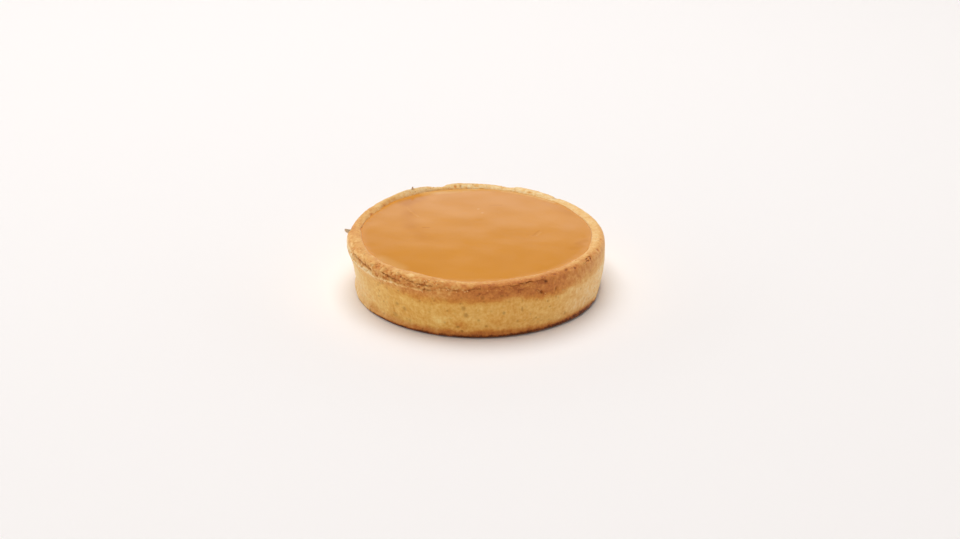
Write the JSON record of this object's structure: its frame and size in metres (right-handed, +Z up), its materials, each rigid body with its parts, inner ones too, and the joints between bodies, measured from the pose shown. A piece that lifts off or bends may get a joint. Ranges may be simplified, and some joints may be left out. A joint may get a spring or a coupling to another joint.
{
  "type": "maple sugar tart",
  "caption": "Small round ring-baked sweet pastry tart with a straight shallow wall, a crumbly lapped rim and a smooth, level maple sugar cream filling.",
  "frame": {"origin": "middle of the flat underside, where the tart rests", "axes": "+Z up through the tart, -Y towards the front of the tart as pictured, +X to the right as seen from the front"},
  "size_m": [0.1056, 0.104, 0.0246],
  "materials": {
    "baked_pastry": "matt, dry and crumbly baked sweet pastry, golden, browner in a band under the rim and at the foot, with small dark pores",
    "maple_cream": "smooth, satin, opaque caramel-coloured set maple sugar cream"
  },
  "bodies": {
    "root": {"crust": "baked_pastry", "filling": "maple_cream"}
  },
  "joints": []
}
